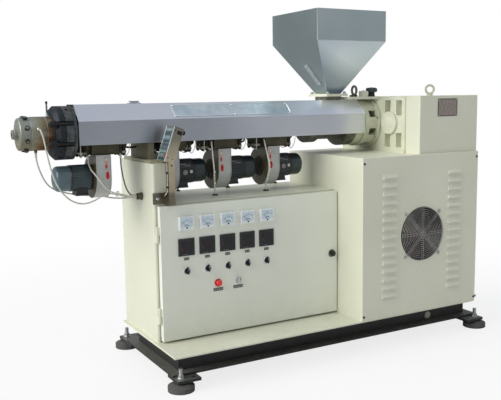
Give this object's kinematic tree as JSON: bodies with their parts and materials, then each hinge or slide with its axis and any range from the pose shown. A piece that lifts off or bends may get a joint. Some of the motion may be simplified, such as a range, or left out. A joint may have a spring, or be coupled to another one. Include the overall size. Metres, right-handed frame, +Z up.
{
  "type": "plastic extruder",
  "caption": "Single-screw plastic extruder: clad barrel with blowers and hopper on a control cabinet and motor cabinet over a channel base.",
  "frame": {"origin": "middle of the machine's footprint, on the floor", "axes": "+X along the barrel towards the gearbox, +Y from the operator's side to the back, +Z up"},
  "size_m": [2.139, 0.7349, 1.5],
  "materials": {
    "cream_paint": "satin",
    "black_paint": "satin",
    "pad_rubber": "matt",
    "zinc_plate": "bright zinc",
    "stainless": "brushed",
    "cast_dark": "oiled",
    "die_steel": "rust tinted",
    "barrel_steel": "dull",
    "heater_cast": "cast",
    "duct_sheet": "dull",
    "blower_grey": "satin",
    "motor_blue": "gloss",
    "meter_white": "gloss",
    "black_plastic": "satin",
    "chrome_ring": "polished",
    "red_lens": "gloss",
    "silver_plastic": "satin",
    "guard_wire": "polished",
    "fan_metal": "satin",
    "fan_frame_paint": "satin",
    "wire_white": "braided",
    "wire_grey": "satin"
  },
  "bodies": {
    "machine": {"base_long_rails": "black_paint", "base_end_rails": "black_paint", "foot_plates": "black_paint", "levelling_pads": "pad_rubber", "levelling_studs": "zinc_plate", "deck_plate": "cream_paint", "end_post": "cream_paint", "control_roof": "cream_paint", "control_back": "cream_paint", "door_frame_sides": "cream_paint", "door_frame_rails": "cream_paint", "hinge_leaves": "cream_paint", "motor_cabinet_sides": "cream_paint", "motor_cabinet_back": "cream_paint", "motor_cabinet_roof": "cream_paint", "fan_panel": "cream_paint", "fan_frame": "fan_frame_paint", "fan_guard": "guard_wire", "gearbox": "cream_paint", "drive_cover": "cream_paint", "lifting_eyes": "zinc_plate", "bell_housing": "cream_paint", "barrel": "barrel_steel", "barrel_cover": "stainless", "heater_bands": "heater_cast", "cooling_ducts": "duct_sheet", "blower_housings": "blower_grey", "blower_motors": "motor_blue", "barrel_support": "duct_sheet", "die_clamp_front": "cast_dark", "die_clamp_rear": "cast_dark", "clamp_bolts": "cast_dark", "die_body": "die_steel", "melt_probe": "barrel_steel", "keypad_arm": "stainless", "keypad": "stainless", "cable_glands": "black_plastic", "zone_wires": "wire_white", "hopper_flange": "cream_paint", "hopper": "stainless", "feed_plate": "cream_paint", "filler_cap": "black_plastic", "die_cable_side": "wire_white", "die_cable_under": "wire_white", "zone_cable_left": "wire_white", "zone_cable_right": "wire_grey"},
    "door": {"cabinet_door": "cream_paint", "hinge_knuckles": "cream_paint", "ammeters": "meter_white", "temperature_controllers": "black_plastic", "switch_bezels": "chrome_ring", "pilot_lamp": "red_lens"},
    "lock": {"lock_knob": "black_plastic"},
    "fan": {"fan_rotor": "fan_metal"},
    "selector": {"selector_knob": "silver_plastic"},
    "switch_1": {"switch_knob_1": "black_plastic"},
    "switch_2": {"switch_knob_2": "black_plastic"},
    "switch_3": {"switch_knob_3": "black_plastic"},
    "switch_4": {"switch_knob_4": "black_plastic"},
    "switch_5": {"switch_knob_5": "black_plastic"}
  },
  "joints": [
    {"name": "door_hinge", "type": "hinge", "parent": "machine", "child": "door", "pos_m": [-0.577, -0.1665, 0.432], "axis": [0, 0, -1], "range_deg": [0, 110]},
    {"name": "lock_turn", "type": "hinge", "parent": "door", "child": "lock", "pos_m": [0.246, -0.1842, 0.432], "axis": [0, 1, 0], "range_deg": [0, 90]},
    {"name": "fan_spin", "type": "hinge", "parent": "machine", "child": "fan", "pos_m": [0.613, -0.3205, 0.51], "axis": [0, 1, 0], "continuous": true},
    {"name": "switch_turn_1", "type": "hinge", "parent": "door", "child": "switch_1", "pos_m": [-0.4605, -0.1842, 0.441], "axis": [0, 1, 0], "range_deg": [0, 60]},
    {"name": "switch_turn_2", "type": "hinge", "parent": "door", "child": "switch_2", "pos_m": [-0.3682, -0.1842, 0.441], "axis": [0, 1, 0], "range_deg": [0, 60]},
    {"name": "switch_turn_3", "type": "hinge", "parent": "door", "child": "switch_3", "pos_m": [-0.2759, -0.1842, 0.441], "axis": [0, 1, 0], "range_deg": [0, 60]},
    {"name": "switch_turn_4", "type": "hinge", "parent": "door", "child": "switch_4", "pos_m": [-0.1836, -0.1842, 0.441], "axis": [0, 1, 0], "range_deg": [0, 60]},
    {"name": "switch_turn_5", "type": "hinge", "parent": "door", "child": "switch_5", "pos_m": [-0.0913, -0.1842, 0.441], "axis": [0, 1, 0], "range_deg": [0, 60]},
    {"name": "selector_turn", "type": "hinge", "parent": "door", "child": "selector", "pos_m": [-0.22975, -0.1842, 0.374], "axis": [0, 1, 0], "range_deg": [0, 60]}
  ]
}
